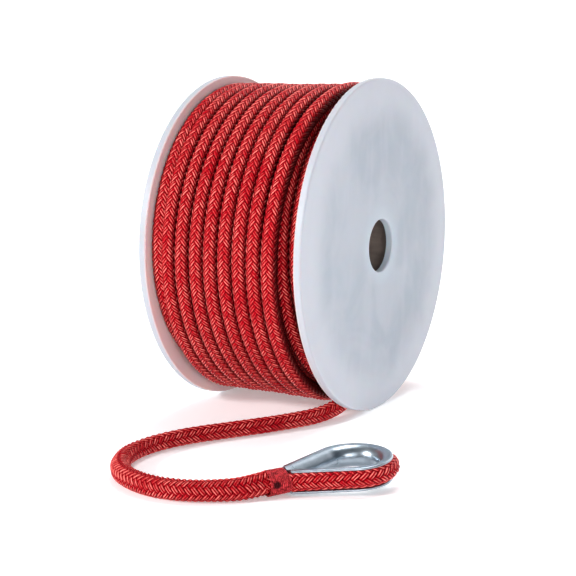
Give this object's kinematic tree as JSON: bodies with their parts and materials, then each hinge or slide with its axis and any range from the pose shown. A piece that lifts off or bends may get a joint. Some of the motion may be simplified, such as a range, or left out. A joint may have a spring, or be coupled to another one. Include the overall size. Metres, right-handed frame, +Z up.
{
  "type": "dock line on reel",
  "caption": "Dock or anchor line of braided nylon wound on a round two-flange plastic reel, its free end spliced round a steel thimble and lying on the floor.",
  "frame": {"origin": "centre of the axle bore, half way between the two flanges; the floor is 100 mm below it", "axes": "+X along the axle towards the front flange, beside which the line leaves the winding; -Y is the side that the free end lies on; +Z up"},
  "size_m": [0.1902, 0.3243, 0.2],
  "materials": {
    "reel_plastic": "translucent natural polyethylene, smooth",
    "kraft_board": "spiral-wound kraft board",
    "hot_melt": "hot-melt glue",
    "nylon_line": "braided nylon yarn, slight sheen",
    "inner_braid": "braided nylon yarn",
    "galvanised_steel": "galvanised",
    "seizing_twine": "waxed whipping twine",
    "staple_steel": "galvanised wire"
  },
  "bodies": {
    "root": {"front_flange": "reel_plastic", "rear_flange": "reel_plastic", "core_tube": "kraft_board", "front_glue_bead": "hot_melt", "rear_glue_bead": "hot_melt", "start_staple": "staple_steel", "wound_line": "nylon_line", "tail_cover": "nylon_line", "tail_core": "inner_braid", "eye_splice": "nylon_line", "eye_line": "nylon_line", "thimble": "galvanised_steel", "throat_seizing": "seizing_twine"}
  },
  "joints": []
}
